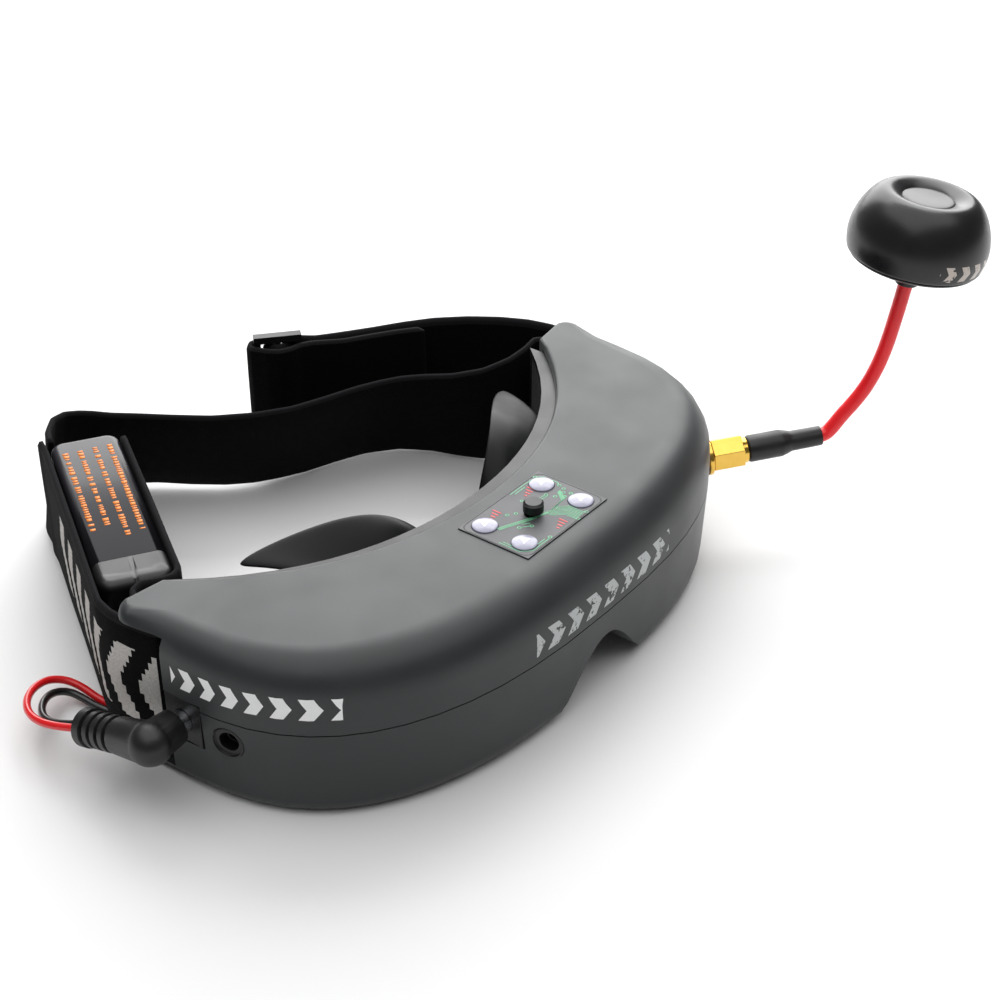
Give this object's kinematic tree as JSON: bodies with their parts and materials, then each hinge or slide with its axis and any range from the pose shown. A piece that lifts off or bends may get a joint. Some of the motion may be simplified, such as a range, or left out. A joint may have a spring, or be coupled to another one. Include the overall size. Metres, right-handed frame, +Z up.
{
  "type": "fpv goggles",
  "caption": "Head-worn video goggles: crescent housing, soft eye shields, a whip aerial with a mushroom dome, and an elastic strap that carries the battery.",
  "frame": {"origin": "on the resting surface, under the middle of the object's footprint measured without the lead and its plug", "axes": "+Z up as it rests, -Y out of the front face, +X towards the aerial socket, so the strap reaches back along +Y"},
  "size_m": [0.2299, 0.2005, 0.0967],
  "materials": {
    "shell": "soft-touch painted, low sheen",
    "black_plastic": "fine moulded texture",
    "rubber": "soft matte",
    "glass": "polished",
    "screen": "polished",
    "board": "solder mask",
    "can": "tinned",
    "gold": "gold plated",
    "steel": "turned",
    "coax": "smooth jacket",
    "dome": "satin moulded",
    "copper": "bare wire",
    "label": "printed film",
    "button": "embossed dome",
    "battery": "satin wrap",
    "wire": "silicone sleeve",
    "webbing": "woven elastic"
  },
  "bodies": {
    "goggles": {"top_shell": "shell", "bottom_shell": "shell", "rear_faceplate": "black_plastic", "light_shield_left": "rubber", "light_shield_right": "rubber", "eyepiece_lens_left": "glass", "eyepiece_lens_right": "glass", "lens_barrel_left": "black_plastic", "lens_barrel_right": "black_plastic", "display_left": "screen", "display_right": "screen", "display_board": "board", "button_board": "board", "main_board": "board", "receiver_module": "can", "sma_socket": "gold", "sma_washer": "gold", "control_label": "label", "joystick_housing": "steel", "power_jack": "black_plastic", "plug_barrel": "steel", "plug_body": "black_plastic", "power_wire_red": "wire", "power_wire_black": "black_plastic", "av_jack": "black_plastic", "av_ring": "black_plastic", "battery_case": "battery", "battery_cap": "black_plastic", "battery_label": "battery", "strap_bar_left": "steel", "strap_bar_right": "steel", "strap_left": "webbing", "strap_band": "webbing", "strap_slider": "black_plastic", "strap_tail": "webbing", "screw_front_left": "steel", "screw_front_right": "steel", "screw_side_left": "steel", "screw_side_right": "steel"},
    "antenna": {"antenna_ferrule": "gold", "antenna_sleeve": "black_plastic", "antenna_stem": "coax", "antenna_collar": "black_plastic", "antenna_base": "dome", "antenna_dome": "dome", "antenna_lobes": "copper"},
    "aerial_nut": {"antenna_nut": "gold"},
    "button_a": {"button_rear_left": "button"},
    "button_b": {"button_rear_right": "button"},
    "button_c": {"button_front_left": "button"},
    "button_d": {"button_front_right": "button"},
    "stick_ring": {"joystick_gimbal": "steel"},
    "stick": {"joystick_stem": "black_plastic"},
    "stick_cap": {"joystick_cap": "black_plastic"}
  },
  "joints": [
    {"name": "aerial_swivel", "type": "hinge", "parent": "goggles", "child": "antenna", "pos_m": [0.04957, -0.04743, 0.0243], "axis": [0.7518, -0.6536, 0.0872], "range_deg": [-90, 90]},
    {"name": "nut_spin", "type": "hinge", "parent": "goggles", "child": "aerial_nut", "pos_m": [0.04957, -0.04743, 0.0243], "axis": [0.7518, -0.6536, 0.0872], "continuous": true},
    {"name": "press_rear_left", "type": "slide", "parent": "goggles", "child": "button_a", "axis": [0, 0, -1], "range_m": [0, 0.0004], "stiffness_N_per_m": 900, "springref_m": -0.0004},
    {"name": "press_rear_right", "type": "slide", "parent": "goggles", "child": "button_b", "axis": [0, 0, -1], "range_m": [0, 0.0004], "stiffness_N_per_m": 900, "springref_m": -0.0004},
    {"name": "press_front_left", "type": "slide", "parent": "goggles", "child": "button_c", "axis": [0, 0, -1], "range_m": [0, 0.0004], "stiffness_N_per_m": 900, "springref_m": -0.0004},
    {"name": "press_front_right", "type": "slide", "parent": "goggles", "child": "button_d", "axis": [0, 0, -1], "range_m": [0, 0.0004], "stiffness_N_per_m": 900, "springref_m": -0.0004},
    {"name": "stick_pitch", "type": "hinge", "parent": "goggles", "child": "stick_ring", "pos_m": [-0.02163, -0.04338, 0.0375], "axis": [1, 0, 0], "range_deg": [-6, 6], "stiffness_Nm_per_rad": 0.02},
    {"name": "stick_roll", "type": "hinge", "parent": "stick_ring", "child": "stick", "pos_m": [-0.02163, -0.04338, 0.0375], "axis": [0, 1, 0], "range_deg": [-6, 6], "stiffness_Nm_per_rad": 0.02},
    {"name": "stick_press", "type": "slide", "parent": "stick", "child": "stick_cap", "axis": [0, 0, -1], "range_m": [0, 0.0003], "stiffness_N_per_m": 1200, "springref_m": -0.0004}
  ]
}
